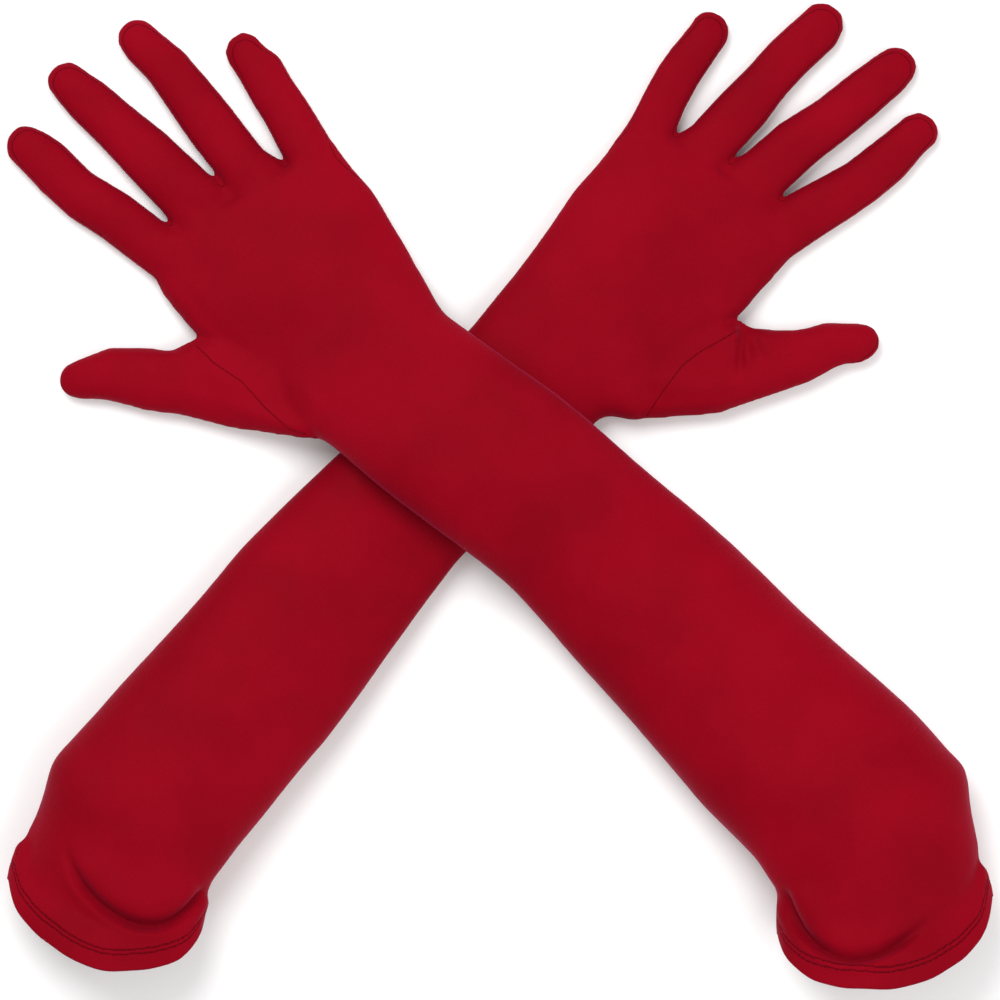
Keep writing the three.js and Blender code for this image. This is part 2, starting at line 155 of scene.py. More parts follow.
class Mouth:
    """Where a sleeve ends: a slanted opening whose top reaches further out than its sides."""

    def __init__(self, glove, outline):
        points, _ = arrays_of(f"{glove}_hem_band")
        flat = points[:, :2] - points[:, :2].mean(0)
        rough = np.linalg.eigh(flat.T @ flat)[1][:, -1]
        rough = rough * np.sign(rough[0])
        outwards = flat @ (rough[1], -rough[0])
        sides = np.abs(points[:, 2] - outline(points)) < 5
        reach = np.where(sides, flat @ rough, 0)
        left = points[np.argmax(np.where(sides, outwards * 0.5 - reach, -1e9))]
        right = points[np.argmax(np.where(sides, outwards * 0.5 + reach, -1e9))]
        self.across = unit((right - left) * (1, 1, 0))
        self.forward = np.cross(UP, self.across)
        self.middle = (left + right) / 2
        self.half_width = np.linalg.norm((right - left)[:2]) / 2
        self.outer_side, self.rim_shape = OUTER_SIDE[glove], RIM_SHAPES[glove]
        self.corner_cuts = CORNER_CUTS[glove]
        top = points[np.argmax(points[:, 2])]
        self.half_height = top[2] - self.middle[2]
        self.lean = (self.middle - top) @ self.forward

    def straight(self, points):
        """How far each point is past a straight cut, and its height as a share of the mouth's."""
        height = (points[:, 2] - self.middle[2]) / self.half_height
        share = np.where(height > 0, height, -LEAN_BELOW * height)
        past = (self.middle - points) @ self.forward - self.lean * np.minimum(share, 1.0)
        return past, share

    def beyond(self, points):
        """How far each point is past the rim; negative is on the glove."""
        past, share = self.straight(points)
        sideways = self.sideways(points) / self.half_width
        cut = np.where(self.outer_side * sideways > 0, self.corner_cuts[1], self.corner_cuts[0])
        corner = cut * smoothstep(np.abs(sideways), 0.84, 1.04)
        drop, place, reach = self.rim_shape
        drop = drop * smoothstep(self.outer_side * sideways, 0.0, 0.95)
        hang = reach * bump(sideways, place, RIM_SPREAD) * smoothstep(share, 0.1, 0.7)
        return past + corner - drop - hang

    def sideways(self, points):
        return (points - self.middle) @ self.across


def outline_of(glove):
    """A function that gives the height where a glove's two layers meet."""
    axis = unit(AXES[glove])
    seams = [n for n in frame["nodes"] if n.startswith(glove) and n.endswith("_seam")]
    points = np.concatenate([arrays_of(node)[0] for node in seams])
    along = np.round(points[:, :2] @ axis)
    places = np.unique(along)
    heights = np.array([points[along == place, 2].mean() for place in places])
    return lambda p: np.interp(p[:, :2] @ axis, places, heights)


class Bend:
    """A joint as seen from above: its middle, and the way from it to the fingertips."""

    def __init__(self, glove, name, limb):
        joint = JOINTS[f"{glove}_{name}"]
        self.place = np.array(joint["pos_m"]) / MM
        self.along = np.cross(UP, unit(joint["axis"]))
        tip = arrays_of(f"{glove}_{limb}_palm_side")[0]
        if (tip.mean(0) - self.place) @ self.along < 0:
            self.along = -self.along
        if limb == "cuff":
            self.along = -self.along
        self.tip = tip[np.argmax((tip - self.place) @ self.along)]

    def past(self, points):
        return (points - self.place) @ self.along

    def off_line(self, points):
        """Distance from the line between the joint and the limb's tip, as seen from above."""
        line = (self.tip - self.place)[:2]
        rel = points[:, :2] - self.place[:2]
        share = np.clip(rel @ line / (line @ line), 0, 1)
        return np.linalg.norm(rel - share[:, None] * line, axis=1)

    def at(self, distance):
        return Vector((self.place + distance * self.along) * MM)


# ---------------------------------------------------------------- the skin

def weld(points, triangles):
    """Joins points that are closer than WELD."""
    mesh = bpy.data.meshes.new("weld")
    mesh.from_pydata(points.tolist(), [], triangles.tolist())
    obj = bpy.data.objects.new("weld", mesh)
    bpy.context.scene.collection.objects.link(obj)
    joiner = obj.modifiers.new("weld", "WELD")
    joiner.merge_threshold = WELD
    tri = obj.modifiers.new("triangles", "TRIANGULATE")
    tri.min_vertices = 4
    return taken(obj)


def taken(obj):
    """The points and faces of an object with its modifiers applied; the object is removed."""
    bpy.context.view_layer.update()
    evaluated = obj.evaluated_get(bpy.context.evaluated_depsgraph_get())
    mesh = evaluated.to_mesh()
    points = np.empty(3 * len(mesh.vertices), np.float32)
    mesh.vertices.foreach_get("co", points)
    sides = len(mesh.polygons[0].vertices)
    corners = np.empty(sides * len(mesh.polygons), np.int32)
    mesh.polygons.foreach_get("vertices", corners)
    evaluated.to_mesh_clear()
    source = obj.data
    bpy.data.objects.remove(obj)
    bpy.data.meshes.remove(source)
    return points.reshape(-1, 3).astype(float), corners.reshape(-1, sides)


def layer_of(glove, side, mouth, outline):
    """The outer faces of one layer of a glove, with the mouth drawn out."""
    up = 1 if side == "palm" else -1
    all_points, all_triangles, count = [], [], 0
    for limb in LIMBS + ("hem",):
        if limb == "hem":
            points, triangles = arrays_of(f"{glove}_hem_band")
            normals = face_normals(points, triangles)
            centres = points[triangles].mean(1)
            outwards = centres - points.mean(0)
            outwards -= np.outer(outwards @ mouth.forward, mouth.forward)
            level = outline(centres)
            outer = (
                (np.abs(normals @ mouth.forward) < 0.45)
                & ((normals * outwards).sum(1) > 0)
                & (up * (centres[:, 2] - level) > 0)
            )
            rim = mouth.straight(points)[0] > -3
            points = points - np.outer(rim * MOUTH_REACH, mouth.forward)
        else:
            points, triangles = arrays_of(f"{glove}_{limb}_{side}_side")
            outer = up * face_normals(points, triangles)[:, 2] > 0.002
        all_points.append(points)
        all_triangles.append(triangles[outer] + count)
        count += len(points)
    points, triangles = np.concatenate(all_points), np.concatenate(all_triangles)
    used, triangles = np.unique(triangles, return_inverse=True)
    return weld(points[used], triangles.reshape(-1, 3))


def closed_layer(points, triangles, outline, up):
    """A closed body between one layer and a surface just past the outline's height."""
    count = len(points)
    far = points.copy()
    level = outline(points) - up * OVERLAP
    far[:, 2] = up * np.minimum(up * level, up * points[:, 2] - 0.2)
    edges = np.sort(triangles[:, [0, 1, 1, 2, 2, 0]].reshape(-1, 2), axis=1)
    edges, uses = np.unique(edges, axis=0, return_counts=True)
    rim = edges[uses == 1]
    walls = [[a, b, b + count, a + count] for a, b in rim.tolist()]
    faces = triangles.tolist() + (triangles[:, ::-1] + count).tolist() + walls
    return np.concatenate([points, far]), faces


def wrapped(glove, mouth, outline):
    """One closed quad mesh round both layers of a glove."""
    all_points, all_faces, count = [], [], 0
    for side, up in (("palm", 1), ("back", -1)):
        layer = layer_of(glove, side, mouth, outline)
        points, faces = closed_layer(*layer, outline, up)
        all_points.append(points)
        all_faces += [[corner + count for corner in face] for face in faces]
        count += len(points)
    mesh = bpy.data.meshes.new("wrap")
    mesh.from_pydata((np.concatenate(all_points) * MM).tolist(), [], all_faces)
    obj = bpy.data.objects.new("wrap", mesh)
    bpy.context.scene.collection.objects.link(obj)
    remesh = obj.modifiers.new("remesh", "REMESH")
    remesh.mode = "VOXEL"
    remesh.voxel_size = VOXEL * MM
    remesh.adaptivity = 0
    points, quads = taken(obj)
    return points / MM, quads


def smoothed(points, quads, reach):
    """The points with detail finer than reach taken out, and broader shapes left as they are."""
    edges = np.sort(quads[:, [0, 1, 1, 2, 2, 3, 3, 0]].reshape(-1, 2), axis=1)
    edges = np.unique(edges, axis=0)
    ends = np.concatenate([edges[:, 0], edges[:, 1]])
    others = np.concatenate([edges[:, 1], edges[:, 0]])
    count = len(points)
    degree = np.bincount(ends, minlength=count)[:, None]
    rounds = max(1, round(reach**2 / (0.25 * VOXEL**2)))

    def blurred(values):
        for _ in range(rounds):
            near = np.stack(
                [np.bincount(ends, values[others, k], count) for k in range(3)], axis=1
            )
            values = 0.5 * values + 0.5 * near / degree
        return values

    rest = points
    for _ in range(5):
        rest = rest - blurred(rest)
    return points - rest


def fineness(points, bends):
    """1 on the digits, 0 on the sleeve, and between the two on the palm."""
    fine = np.zeros(len(points))
    for digit in DIGITS:
        fine = np.maximum(fine, smoothstep(bends[digit].past(points), -34, -10))
    return fine * smoothstep(bends["wrist"].past(points), 0, 25)


def main_skin(glove, mouth, outline, bends):
    points, quads = wrapped(glove, mouth, outline)
    fine = fineness(points, bends)[:, None]
    near = smoothstep(mouth.beyond(points), -45, -25)[:, None]
    sleeve = (1 - near) * smoothed(points, quads, SLEEVE_SMOOTHING)
    sleeve += near * smoothed(points, quads, MOUTH_SMOOTHING)
    return fine * smoothed(points, quads, DIGIT_SMOOTHING) + (1 - fine) * sleeve, quads


def vertex_normals(points, faces):
    """Area-weighted normals, for faces of any number of sides."""
    corners = np.array([len(face) for face in faces])
    flat = np.concatenate([np.asarray(face) for face in faces]) if corners.size else []
    starts = np.cumsum(corners) - corners
    following = np.arange(len(flat)) + 1
    following[starts + corners - 1] = starts
    cross = np.cross(points[flat], points[flat[following]])
    face_area = np.add.reduceat(cross, starts, axis=0)
    spread = np.repeat(face_area, corners, axis=0)
    normals = np.stack(
        [np.bincount(flat, spread[:, k], len(points)) for k in range(3)], axis=1
    )
    return normals / np.maximum(np.linalg.norm(normals, axis=1, keepdims=True), 1e-12)


def scored(points, faces, field, chosen=None):
    """Cuts faces along the line where field is zero, so that the line is made of edges.

    chosen marks the points where the cut is made; elsewhere faces only take up the new corners.
    Returns the new points and faces, and a mark for the points on the line."""
    value = field(points)
    value[np.abs(value) < 1e-4] = 1e-4
    wanted = np.ones(len(points), bool) if chosen is None else chosen(points)
    positive = value > 0
    added, where = {}, []

    def crossing(a, b):
        key = (a, b) if a < b else (b, a)
        if key not in added:
            share = value[key[0]] / (value[key[0]] - value[key[1]])
            added[key] = len(points) + len(where)
            where.append(points[key[0]] + share * (points[key[1]] - points[key[0]]))
        return added[key]

    for face in faces:
        signs = [positive[corner] for corner in face]
        if all(signs) or not any(signs) or not all(wanted[corner] for corner in face):
            continue
        for a, b in zip(face, face[1:] + face[:1]):
            if positive[a] != positive[b]:
                crossing(a, b)
    touched = np.zeros(len(points), bool)
    for key in added:
        touched[list(key)] = True
    result = []
    for face in faces:
        if not any(touched[corner] for corner in face):
            result.append(face)
            continue
        ring = []
        for a, b in zip(face, face[1:] + face[:1]):
            ring.append(a)
            new = added.get((a, b) if a < b else (b, a))
            if new is not None:
                ring.append(new)
        new_at = [i for i, corner in enumerate(ring) if corner >= len(points)]
        if len(new_at) == 2 and all(wanted[corner] for corner in face):
            first, second = new_at
            result.append(ring[first : second + 1])
            result.append(ring[second:] + ring[: first + 1])
        else:
            result.append(ring)
    if not where:
        return points, faces, np.zeros(len(points), bool)
    on_line = np.zeros(len(points) + len(where), bool)
    on_line[len(points) :] = True
    return np.concatenate([points, np.array(where)]), result, on_line


def grown(marks, count):
    return np.concatenate([marks, np.zeros(count - len(marks), marks.dtype)])


def curve_field(corners):
    """Signed distance from a line on the table, positive on its left, and the place along it."""
    corners = np.array(corners, float)

    def field(points):
        best = np.full(len(points), 1e9)
        signed = np.zeros(len(points))
        place = np.zeros(len(points))
        run = 0.0
        last = len(corners) - 2
        for index, (a, b) in enumerate(zip(corners[:-1], corners[1:])):
            span = b - a
            length = np.linalg.norm(span)
            rel = points[:, :2] - a
            share = rel @ span / length**2
            low = -1e9 if index == 0 else 0.0
            high = 1e9 if index == last else 1.0
            held = np.clip(share, low, high)
            off = rel - held[:, None] * span
            away = np.linalg.norm(off, axis=1)
            side = np.sign(span[0] * rel[:, 1] - span[1] * rel[:, 0])
            nearer = away < best
            best[nearer] = away[nearer]
            signed[nearer] = (side * away)[nearer]
            place[nearer] = (run + held * length)[nearer]
            run += length
        return signed, place, run

    return field


# The thumb's seam on the palm, as seen from above
THUMB_SEAMS = {
    "left": [(-131, 66), (-123, 58), (-111, 50), (-101, 39), (-90, 29), (-79, 26)],
    "right": [(103, 72), (87, 63), (79, 57), (70, 45), (63, 34)],
}
# The small folds at the thumb's root: (start, end, depth, half width)
ROOT_FOLDS = {
    "left": [((-133, 64), (-124, 44), 0.5, 2.4)],
    "right": [
        ((104.5, 72), (103.5, 52), 2.0, 1.3),
        ((106.5, 73), (113, 58), 1.5, 2.0),
    ],
}
# The fold over each hem, as seen from above
HEM_FOLDS = {
    "left": [(122, -169), (125, -177), (131, -187), (139, -194), (147, -197), (155, -197),
             (165, -194), (175, -188), (186, -178)],
    "right": [(-186, -147), (-182, -160), (-173, -172), (-162, -180), (-151, -183.5),
              (-141, -182), (-132, -175), (-127, -169)],
}
# Where each fold comes in and where it fades out, as shares of its length
HEM_FOLD_SPANS = {
    "left": ((-0.04, 0.06), (0.70, 1.02)),
    "right": ((-0.02, 0.30), (0.96, 1.04)),
}
# The roll above the fold, its crease, and the lip below it: (rise, place, half width)
HEM_FOLD_SHAPE = ((2.4, 6.5, 4.5), (-3.3, 0, 1.5), (1.2, -4.2, 1.8))
# The distance from the rim to the step in the outer side of each sleeve, where the hem flares
LEDGES = {"left": 13.5, "right": 17.5}


def rounded(corners, rounds=2):
    """The corners of a line with each corner cut off, rounds times."""
    line = np.array(corners, float)
    for _ in range(rounds):
        early, late = 0.75 * line[:-1] + 0.25 * line[1:], 0.25 * line[:-1] + 0.75 * line[1:]
        cut = np.stack([early, late], axis=1).reshape(-1, 2)
        line = np.concatenate([line[:1], cut[1:-1], line[-1:]])
    return line


def hem_fold(glove, points, outline):
    """Distance from the fold over the hem, positive towards the hand, and how much of it there is."""
    signed, place, run = curve_field(rounded(HEM_FOLDS[glove]))(points)
    starts, ends = HEM_FOLD_SPANS[glove]
    fade = smoothstep(place / run, *starts) * (1 - smoothstep(place / run, *ends))
    return signed, fade * smoothstep(points[:, 2] - outline(points), -2, 6)


def hem_crease_shade_mask(glove, points, outline):
    """How deep in the fold over the hem each point lies, from 0 to 1: the mask of the painted shade
    in that crease.
    """
    signed, strength = hem_fold(glove, points, outline)
    return strength * bump(signed, 0.3, 0.9)


def folds(glove, points, mouth, outline, fine):
    """How far the cloth stands out of, or sinks into, its smooth shape."""
    height = points[:, 2] - outline(points)
    upper = smoothstep(height, -2, 6)
    beyond = mouth.beyond(points)
    signed, strength = hem_fold(glove, points, outline)
    move = strength * sum(rise * bump(signed, *place) for rise, *place in HEM_FOLD_SHAPE)
    side = smoothstep(mouth.outer_side * mouth.sideways(points) / mouth.half_width, 0.7, 0.97)
    step = beyond + LEDGES[glove]
    move += side * (1.1 * smoothstep(step, -3.0, 3.0) - 0.6 * bump(step, -4.0, 2.8))
    axis = unit(AXES[glove])
    along, across = points[:, :2] @ axis, points[:, :2] @ (axis[1], -axis[0])
    sleeve = (1 - fine) * smoothstep(-beyond, 12, 45)
    move += sleeve * 0.55 * np.sin(along / 17 + 1.3 * np.sin(across / 21 + 0.6))
    move += sleeve * 0.40 * np.sin(across / 9.5 + along / 31 + 2.1)
    move += 0.16 * np.sin(along / 6.1 + 1.7 * np.sin(across / 8.3)) * upper
    for start, end, depth, half_width in ROOT_FOLDS[glove]:
        away, place, run = curve_field([start, end])(points)
        share = place / run
        held = smoothstep(share, -0.25, 0.15) * (1 - smoothstep(share, 0.55, 1.1))
        move -= smoothstep(height, 0, 3) * held * depth * (
            bump(away, 0, half_width) - 0.5 * bump(np.abs(away), 2.6 * half_width, half_width)
        )
    return move


def side_fullness(points, normals, bends):
    """How far each point is moved out level with the table, to give the sides their width back."""
    tip = np.zeros(len(points))
    for digit in DIGITS:
        away = np.linalg.norm((points - bends[digit].tip)[:, :2], axis=1)
        tip = np.maximum(tip, 1 - smoothstep(away, 0.4 * TIP_REACH, TIP_REACH))
    amount = SIDE_FULLNESS + (DIGIT_FULLNESS - SIDE_FULLNESS) * fineness(points, bends)
    amount = amount + (TIP_FULLNESS - amount) * tip
    level = normals * (1, 1, 0)
    return level * (amount * np.linalg.norm(level, axis=1) ** 4)[:, None]


def rim_edges_of(faces):
    """The edges that only one face uses, in that face's direction."""
    uses = {}
    for face in faces:
        for a, b in zip(face, face[1:] + face[:1]):
            key = (a, b) if a < b else (b, a)
            uses[key] = None if key in uses else (a, b)
    return {edge for edge in uses.values() if edge is not None}


def cut_at(points, faces, field):
    """Drops the faces where field is above zero, after cutting along its zero line."""
    points, faces, on_line = scored(points, faces, field)
    value = field(points)
    value[on_line] = 0
    faces = [face for face in faces if max(value[corner] for corner in face) <= SLIVER]
    used = np.unique(np.concatenate([np.asarray(face) for face in faces]))
    renumber = np.full(len(points), -1)
    renumber[used] = np.arange(len(used))
    return points[used], [[int(renumber[corner]) for corner in face] for face in faces]


class Skin:
    """A glove's cloth: its outer points before and after it is folded, its faces, how dark each point
    is painted, for its seams and as painted shade in the crease over each hem, and its lines of
    thread."""

    def __init__(self, glove):
        self.glove = glove
        outline = outline_of(glove)
        self.mouth = mouth = Mouth(glove, outline)
        self.bends = bends = {
            "elbow": Bend(glove, "elbow_bend", "cuff"),
            "wrist": Bend(glove, "wrist_bend", "hand"),
            "thumb": Bend(glove, "thumb_fold", "thumb"),
        }
        for finger in FINGERS:
            bends[finger] = Bend(glove, f"{finger}_curl", finger)
        points, quads = main_skin(glove, mouth, outline, bends)
        faces = quads.tolist()
        normals = vertex_normals(points, faces)
        points = points + side_fullness(points, normals, bends)
        points[:, 2] = np.maximum(points[:, 2], FLOOR_CLEARANCE)
        points, faces = cut_at(points, faces, mouth.beyond)
        seam_dark_and_painted_shade, sink = np.zeros(len(points)), np.zeros(len(points))

        def groove(field, chosen, depth, half_width, darkness):
            """Three cuts side by side, of which the middle one sinks in. Returns its points."""
            nonlocal points, faces, seam_dark_and_painted_shade, sink
            for offset in (-half_width, half_width):
                points, faces, _ = scored(points, faces, lambda p: field(p) - offset, chosen)
            points, faces, middle = scored(points, faces, field, chosen)
            seam_dark_and_painted_shade, sink = grown(seam_dark_and_painted_shade, len(points)), grown(sink, len(points))
            seam_dark_and_painted_shade[middle] = darkness
            sink[middle] = depth
            return np.flatnonzero(middle)

        def near_rim(p):
            return mouth.beyond(p) > -16

        self.rows = []
        for row in STITCH_ROWS:
            line = groove(lambda p: mouth.beyond(p) + row, near_rim, 0.5, 0.5, 1.0)
            self.rows.append(line)
        points, faces, _ = scored(
            points, faces, lambda p: mouth.beyond(p) + HEM_DEPTH, near_rim
        )
        seam_dark_and_painted_shade, sink = grown(seam_dark_and_painted_shade, len(points)), grown(sink, len(points))

        def lift(p):
            past = np.full(len(p), -1e9)
            for digit in FINGERS:
                past = np.maximum(past, bends[digit].past(p))
            hand = smoothstep(bends["wrist"].past(p), 8, 30)
            return SEAM_LIFT * smoothstep(past, -30, -8) * hand

        def over_seam(p):
            return p[:, 2] - outline(p) - lift(p)

        groove(over_seam, lambda p: mouth.beyond(p) < -HEM_DEPTH - 0.5, 0.30, 0.30, 0.8)

        thumb_line = curve_field(THUMB_SEAMS[glove])

        def on_thumb(p):
            away, place, run = thumb_line(p)
            inside = (np.abs(away) < 6) & (place > 0) & (place < run)
            return inside & (p[:, 2] > outline(p) + 1.5)

        self.thumb_row = groove(lambda p: thumb_line(p)[0], on_thumb, 0.40, 0.35, 1.0)
        # painted shade: the crease over each hem is darkened towards the seam colour, where shade
        # falls in the fold
        seam_dark_and_painted_shade = np.maximum(seam_dark_and_painted_shade, PAINTED_CREASE_SHADE * hem_crease_shade_mask(glove, points, outline))
        self.smooth, self.faces, self.seam_dark_and_painted_shade = points, faces, seam_dark_and_painted_shade
        move = folds(glove, points, mouth, outline, fineness(points, bends)) - sink
        self.points = points + vertex_normals(points, faces) * move[:, None]
        self.points[:, 2] = np.maximum(self.points[:, 2], FLOOR_CLEARANCE)
        self.normals = vertex_normals(self.points, faces)
        self.rim = rim_edges_of(faces)


# ---------------------------------------------------------------- meshes

def mesh_from(name, points, faces, cloth, normals=None, seam_dark_and_painted_shade=None):
    """An object in metres, with its normals and the values that the materials read."""
    mesh = bpy.data.meshes.new(name)
    mesh.from_pydata((np.asarray(points) * MM).tolist(), [], faces)
    mesh.validate()
    mesh.shade_smooth()
    layer = mesh.attributes.new("cloth", "FLOAT_VECTOR", "POINT")
    layer.data.foreach_set("vector", np.asarray(cloth, np.float32).ravel())
    if seam_dark_and_painted_shade is not None:
        # the seam value: dark seams, and painted shade in the crease over each hem
        layer = mesh.attributes.new("seam", "FLOAT", "POINT")
        layer.data.foreach_set("value", np.asarray(seam_dark_and_painted_shade, np.float32))
    if normals is not None:
        mesh.normals_split_custom_set_from_vertices(np.asarray(normals).tolist())
    obj = bpy.data.objects.new(name, mesh)
    bpy.context.scene.collection.objects.link(obj)
    return obj


def cloth_places(glove, points):
    """Places on the cloth in millimetres: across the glove, along it, and up."""
    axis = unit(AXES[glove])
    along, across = points[:, :2] @ axis, points[:, :2] @ (axis[1], -axis[0])
    return np.stack([across, along, points[:, 2]], axis=1)


def thick_piece(name, skin, chosen, thickness):
    """Some faces of the skin with an inner face for each of them, joined where the cloth ends."""
    faces = [skin.faces[index] for index in chosen]
    used = np.unique(np.concatenate([np.asarray(face) for face in faces]))
    renumber = np.full(len(skin.points), -1)
    renumber[used] = np.arange(len(used))
    count = len(used)
    outer = [[int(renumber[corner]) for corner in face] for face in faces]
    points, normals = skin.points[used], skin.normals[used]
    inner_points = points - normals * thickness[used][:, None]
    inner = [[corner + count for corner in reversed(face)] for face in outer]
    edges = (edge for face in faces for edge in zip(face, face[1:] + face[:1]))
    middle = {}
    extra, extra_normals, rim_faces = [], [], []
    for a, b in (edge for edge in edges if edge in skin.rim):
        ends = []
        for corner in (a, b):
            if corner not in middle:
                middle[corner] = 2 * count + len(extra)
                depth = thickness[corner]
                at = skin.points[corner] - skin.normals[corner] * depth / 2
                extra.append(at - skin.mouth.forward * depth * 0.4)
                extra_normals.append(-skin.mouth.forward)
            ends.append(middle[corner])
        first, second = int(renumber[a]), int(renumber[b])
        rim_faces.append([second, first, ends[0], ends[1]])
        rim_faces.append([ends[1], ends[0], first + count, second + count])
    all_points = np.concatenate([points, inner_points] + ([np.array(extra)] if extra else []))
    all_normals = np.concatenate(
        [normals, -normals] + ([np.array(extra_normals)] if extra else [])
    )
    seam_dark_and_painted_shade = np.concatenate([skin.seam_dark_and_painted_shade[used], np.zeros(count + len(extra))])
    cloth = cloth_places(skin.glove, all_points)
    return mesh_from(name, all_points, outer + inner + rim_faces, cloth, all_normals, seam_dark_and_painted_shade)


def tube(points, normals, radius, sides=6):
    """A round thread through points, pointed at both ends, as points and faces."""
    points = np.asarray(points, float)
    along = np.gradient(points, axis=0)
    along /= np.linalg.norm(along, axis=1, keepdims=True)
    up = normals - (normals * along).sum(1, keepdims=True) * along
    up /= np.linalg.norm(up, axis=1, keepdims=True)
    side = np.cross(along, up)
    shares = np.linspace(-1, 1, len(points))
    radii = radius * np.sqrt(np.clip(1 - 0.86 * shares**6, 0.05, 1))
    angles = np.arange(sides) / sides * 2 * math.pi
    rings = (
        points[:, None]
        + radii[:, None, None] * np.cos(angles)[None, :, None] * side[:, None]
        + radii[:, None, None] * np.sin(angles)[None, :, None] * up[:, None]
    )
    corners = rings.reshape(-1, 3)
    faces = []
    for row in range(len(points) - 1):
        for k in range(sides):
            a, b = row * sides + k, row * sides + (k + 1) % sides
            faces.append([a, b, b + sides, a + sides])
    last = (len(points) - 1) * sides
    faces.append(list(range(sides))[::-1])
    faces.append([last + k for k in range(sides)])
    return corners, faces


def stitches(name, glove, line, normals, closed, length=1.9, pitch=2.7, radius=0.27):
    """A row of stitches along a line on the cloth."""
    if closed:
        line, normals = np.vstack([line, line[:1]]), np.vstack([normals, normals[:1]])
    steps = np.linalg.norm(np.diff(line, axis=0), axis=1)
    place = np.concatenate([[0], np.cumsum(steps)])
    total = place[-1]
    number = max(1, int(total // pitch))
    at = lambda s, values: np.stack([np.interp(s, place, values[:, k]) for k in range(3)], axis=1)
    all_points, all_faces, count = [], [], 0
    for index in range(number):
        start = (index + 0.15) * total / number
        spots = np.linspace(start, start + length, 7)
        lift = radius * (0.75 - 0.9 * np.linspace(-1, 1, 7) ** 4)
        normal = at(spots, normals)
        corners, faces = tube(at(spots, line) + normal * lift[:, None], normal, radius)
        all_points.append(corners)
        all_faces += [[corner + count for corner in face] for face in faces]
        count += len(corners)
    points = np.concatenate(all_points)
    return mesh_from(name, points, all_faces, cloth_places(glove, points))


# ---------------------------------------------------------------- materials

def node(tree, kind, inputs=None, **settings):
    made = tree.nodes.new(kind)
    for key, value in settings.items():
        setattr(made, key, value)
    for key, value in (inputs or {}).items():
        if isinstance(value, bpy.types.NodeSocket):
            tree.links.new(value, made.inputs[key])
        else:
            made.inputs[key].default_value = value
    return made


def math_node(tree, operation, first, second):
    return node(tree, "ShaderNodeMath", {0: first, 1: second}, operation=operation).outputs[0]


def fabric(name, light, deep, seam_and_shade_colour, knit):
    """Stretch satin: a fine ribbed knit with soft patches of lighter and deeper dye."""
    material = bpy.data.materials.new(name)
    material.use_nodes = True
    tree = material.node_tree
    shader = tree.nodes["Principled BSDF"]
    place = node(tree, "ShaderNodeAttribute", attribute_name="cloth").outputs["Vector"]
    broad = node(tree, "ShaderNodeTexNoise", {"Vector": place, "Scale": 0.022, "Detail": 3.0})
    fine = node(tree, "ShaderNodeTexNoise", {"Vector": place, "Scale": 0.9, "Detail": 4.0})
    wales = node(
        tree, "ShaderNodeTexWave",
        {"Vector": place, "Scale": 0.42, "Distortion": 0.7, "Detail": 1.0, "Detail Scale": 0.4},
        wave_type="BANDS", bands_direction="X", wave_profile="SIN",
    )
    courses = node(
        tree, "ShaderNodeTexWave",
        {"Vector": place, "Scale": 0.55, "Distortion": 0.5, "Detail": 1.0, "Detail Scale": 0.6},
        wave_type="BANDS", bands_direction="Y", wave_profile="SIN",
    )
    loops = math_node(tree, "MULTIPLY", wales.outputs["Fac"], courses.outputs["Fac"])
    patches = node(
        tree, "ShaderNodeMapRange",
        {"Value": broad.outputs["Fac"], "From Min": 0.32, "From Max": 0.68},
    ).outputs[0]
    speckle = node(
        tree, "ShaderNodeMapRange",
        {"Value": fine.outputs["Fac"], "From Min": 0.25, "From Max": 0.75, "To Min": -0.22,
         "To Max": 0.22},
    ).outputs[0]
    weave = node(
        tree, "ShaderNodeMapRange", {"Value": loops, "To Min": -0.10, "To Max": 0.10},
    ).outputs[0]
    tone = math_node(tree, "ADD", math_node(tree, "ADD", patches, speckle), weave)
    dyed = node(
        tree, "ShaderNodeMix", {"Factor": tone}, data_type="RGBA", clamp_factor=True,
    )
    # the colour sockets of a Mix node go by number: its float sockets have the same names
    dyed.inputs[6].default_value = (*deep, 1)
    dyed.inputs[7].default_value = (*light, 1)
    # the seam value darkens the dye: dark seams, and painted shade in the crease over each hem
    seam = node(tree, "ShaderNodeAttribute", attribute_name="seam").outputs["Fac"]
    coloured = node(
        tree, "ShaderNodeMix", {"Factor": seam}, data_type="RGBA", clamp_factor=True,
    )
    tree.links.new(dyed.outputs[2], coloured.inputs[6])
    coloured.inputs[7].default_value = (*seam_and_shade_colour, 1)
    tree.links.new(coloured.outputs[2], shader.inputs["Base Color"])
    relief = math_node(
        tree, "ADD", math_node(tree, "MULTIPLY", loops, 0.6),
        math_node(tree, "MULTIPLY", fine.outputs["Fac"], 0.5),
    )
    rise = node(
        tree, "ShaderNodeBump", {"Height": relief, "Strength": knit, "Distance": 0.00022},
    )
    tree.links.new(rise.outputs["Normal"], shader.inputs["Normal"])
    rough = node(
        tree, "ShaderNodeMapRange",
        {"Value": broad.outputs["Fac"], "From Min": 0.3, "From Max": 0.7, "To Min": 0.50,
         "To Max": 0.58},
    ).outputs[0]
    tree.links.new(rough, shader.inputs["Roughness"])
    shader.inputs["Specular IOR Level"].default_value = 0.015
    shader.inputs["Sheen Weight"].default_value = 0.2
    shader.inputs["Sheen Roughness"].default_value = 0.38
    shader.inputs["Sheen Tint"].default_value = (1.0, 0.16, 0.40, 1)
    return material


